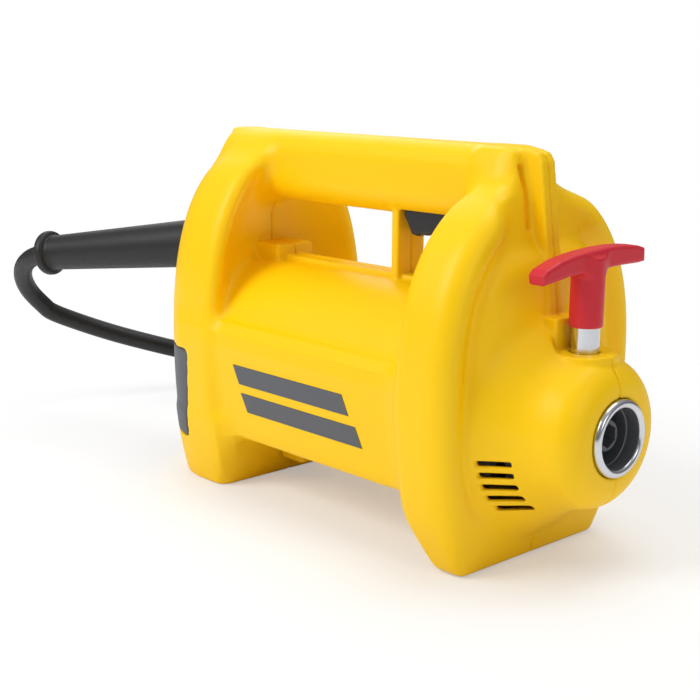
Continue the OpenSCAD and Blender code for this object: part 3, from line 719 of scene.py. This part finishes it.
MATS = {
    # edge=0.1 paints a highlight along the housing's convex edges
    "yellow_housing": material("yellow_plastic", srgb(255, 205, 0),
        rough=0.42, vary=0.015, grain=0.2, grain_scale=1800, edge=0.1, specular=0.28),
    "grey_cover": material("grey_plastic", srgb(84, 87, 93),
        rough=0.5, vary=0.05, grain=0.35, grain_scale=1500),
    "foam": material("filter_foam", srgb(40, 40, 42),
        rough=0.95, vary=0.3, grain=1.0, grain_scale=900, blotch=400),
    "cast_aluminium": material("cast_aluminium", srgb(176, 178, 182),
        rough=0.45, metal=1, vary=0.08, grain=0.6, grain_scale=900),
    "polished_steel": material("polished_steel", srgb(206, 208, 213),
        rough=0.2, metal=1, vary=0.03, rough_vary=0.04, grain=0.05, grain_scale=500, brushed=(1, 1, 6)),
    "dark_bore": material("dark_bore", srgb(104, 106, 110),
        rough=0.5, metal=0.4, vary=0.1, grain=0.1),
    "steel": material("steel", srgb(150, 152, 156),
        rough=0.3, metal=1, vary=0.08, grain=0.15, grain_scale=900, brushed=(6, 1, 1)),
    "lamination": material("lamination", srgb(98, 98, 104),
        rough=0.4, metal=1, vary=0.1, grain=0.8, grain_scale=1200, brushed=(3, 0.05, 0.05)),
    "enamelled_copper": material("enamelled_copper", srgb(170, 84, 36),
        rough=0.3, metal=0.8, vary=0.15, grain=0.8, grain_scale=1000, brushed=(0.1, 1, 1)),
    "copper": material("copper", srgb(196, 118, 72), rough=0.3, metal=1, vary=0.1, grain=0.2),
    "brass": material("brass", srgb(196, 164, 92), rough=0.3, metal=1, vary=0.08, grain=0.2),
    "carbon": material("carbon", srgb(48, 48, 50), rough=0.6, vary=0.15, grain=0.4),
    "black_plastic": material("black_plastic", srgb(24, 26, 31),
        rough=0.42, vary=0.1, grain=0.25, grain_scale=1800),
    # edge=0.1 paints a highlight along the knob's convex edges
    "red_plastic": material("red_plastic", srgb(206, 38, 52),
        rough=0.42, vary=0.03, grain=0.2, grain_scale=1800, edge=0.1, specular=0.35),
    "black_rubber": material("black_rubber", srgb(20, 20, 22),
        rough=0.5, vary=0.12, grain=0.3, grain_scale=1400),
    "grey_print": material("grey_print", srgb(84, 87, 94), rough=0.5, vary=0.04, grain=0.1),
}


def paint(o, slot):
    o.data.materials.clear()
    o.data.materials.append(MATS[slot])


NODE_SLOT = {s["node"]: s.get("material_slot") for s in frame["record"].get("subparts", [])}
for name, o in frame["nodes"].items():
    paint(o, NODE_SLOT.get(name) or "steel")

SHELLS = housing()
for o in SHELLS:
    paint(o, "yellow_housing")
paint(rear_cover(), "grey_cover")
rubber, plastic = cord()
for o in rubber:
    paint(o, "black_rubber")
for o in (*plastic, finger_lever()):
    paint(o, "black_plastic")
paint(knob(), "red_plastic")
for o in bars(SHELLS):
    paint(o, "grey_print")
ring = socket()
paint(ring, "polished_steel")
paint(spring(), "steel")
ring.data.materials.append(MATS["dark_bore"])
for face in ring.data.polygons:
    c = face.center
    if math.hypot(c.y, c.z - AXIS_Z * MM) < 0.01595 and c.x < 0.1594:
        face.material_index = 1
paint(frame["nodes"]["drive_spindle"], "dark_bore")


# ---------------------------------------------------------------- floor and light
def studio():
    me = bpy.data.meshes.new("floor")
    me.from_pydata([(-6, -6, 0), (6, -6, 0), (6, 6, 0), (-6, 6, 0)], [], [(0, 1, 2, 3)])
    floor = add("floor", me)
    m = bpy.data.materials.new("floor")
    m.use_nodes = True
    n, link = m.node_tree.nodes, m.node_tree.links.new
    b = n["Principled BSDF"]
    b.inputs["Base Color"].default_value = (0.93, 0.93, 0.93, 1)
    b.inputs["Roughness"].default_value = 0.9
    b.inputs["Specular IOR Level"].default_value = 0.1
    white = n.new("ShaderNodeEmission")
    white.inputs["Color"].default_value = (1, 1, 1, 1)
    white.inputs["Strength"].default_value = 1
    place, far = n.new("ShaderNodeTexCoord"), n.new("ShaderNodeVectorMath")
    fade, mix = n.new("ShaderNodeMapRange"), n.new("ShaderNodeMixShader")
    far.operation = "LENGTH"
    fade.interpolation_type = "SMOOTHSTEP"
    fade.inputs["From Min"].default_value, fade.inputs["From Max"].default_value = 0.1, 0.5
    fade.inputs["To Min"].default_value, fade.inputs["To Max"].default_value = 0.35, 1
    link(place.outputs["Object"], far.inputs[0])
    link(far.outputs["Value"], fade.inputs["Value"])
    link(fade.outputs["Result"], mix.inputs["Fac"])
    link(b.outputs["BSDF"], mix.inputs[1])
    link(white.outputs["Emission"], mix.inputs[2])
    path, seen, only = n.new("ShaderNodeLightPath"), n.new("ShaderNodeMixShader"), n["Material Output"]
    link(path.outputs["Is Camera Ray"], seen.inputs["Fac"])
    link(b.outputs["BSDF"], seen.inputs[1])
    link(mix.outputs["Shader"], seen.inputs[2])
    link(seen.outputs["Shader"], only.inputs["Surface"])
    me.materials.append(m)
    world = bpy.data.worlds.new("studio")
    bpy.context.scene.world = world
    world.use_nodes = True
    n, link = world.node_tree.nodes, world.node_tree.links.new
    sky = n["Background"]
    pos = n.new("ShaderNodeTexCoord")
    split = n.new("ShaderNodeSeparateXYZ")
    ramp = n.new("ShaderNodeValToRGB")
    ramp.color_ramp.elements[0].position, ramp.color_ramp.elements[0].color = 0.42, (0.10, 0.10, 0.11, 1)
    ramp.color_ramp.elements[1].position, ramp.color_ramp.elements[1].color = 0.95, (1, 1, 1, 1)
    shift = n.new("ShaderNodeMapRange")
    shift.inputs["From Min"].default_value, shift.inputs["From Max"].default_value = -1, 1
    link(pos.outputs["Generated"], split.inputs["Vector"])
    link(split.outputs["Z"], shift.inputs["Value"])
    link(shift.outputs["Result"], ramp.inputs["Fac"])
    link(ramp.outputs["Color"], sky.inputs["Color"])
    sky.inputs["Strength"].default_value = 0.5
    seen = n.new("ShaderNodeBackground")
    seen.inputs["Color"].default_value = (1, 1, 1, 1)
    seen.inputs["Strength"].default_value = 1
    path, mix = n.new("ShaderNodeLightPath"), n.new("ShaderNodeMixShader")
    link(path.outputs["Is Camera Ray"], mix.inputs["Fac"])
    link(sky.outputs["Background"], mix.inputs[1])
    link(seen.outputs["Background"], mix.inputs[2])
    link(mix.outputs["Shader"], n["World Output"].inputs["Surface"])
    for name, place, size, power in (
        ("key", (-0.6, -1.7, 1.5), 1.0, 27), ("top", (0.0, 0.4, 2.2), 1.4, 20),
        ("side", (1.9, -0.3, 1.0), 0.9, 5), ("back", (-1.6, 0.9, 1.2), 1.0, 6),
    ):
        light = bpy.data.lights.new(name, "AREA")
        light.size, light.energy = size, power
        o = bpy.data.objects.new(name, light)
        bpy.context.scene.collection.objects.link(o)
        o.location = place
        o.rotation_mode = "QUATERNION"
        o.rotation_quaternion = (Vector((0, 0, 0.1)) - Vector(place)).to_track_quat("-Z", "Y")
    bpy.context.scene.view_settings.view_transform = "Standard"


studio()
bpy.context.view_layer.update()
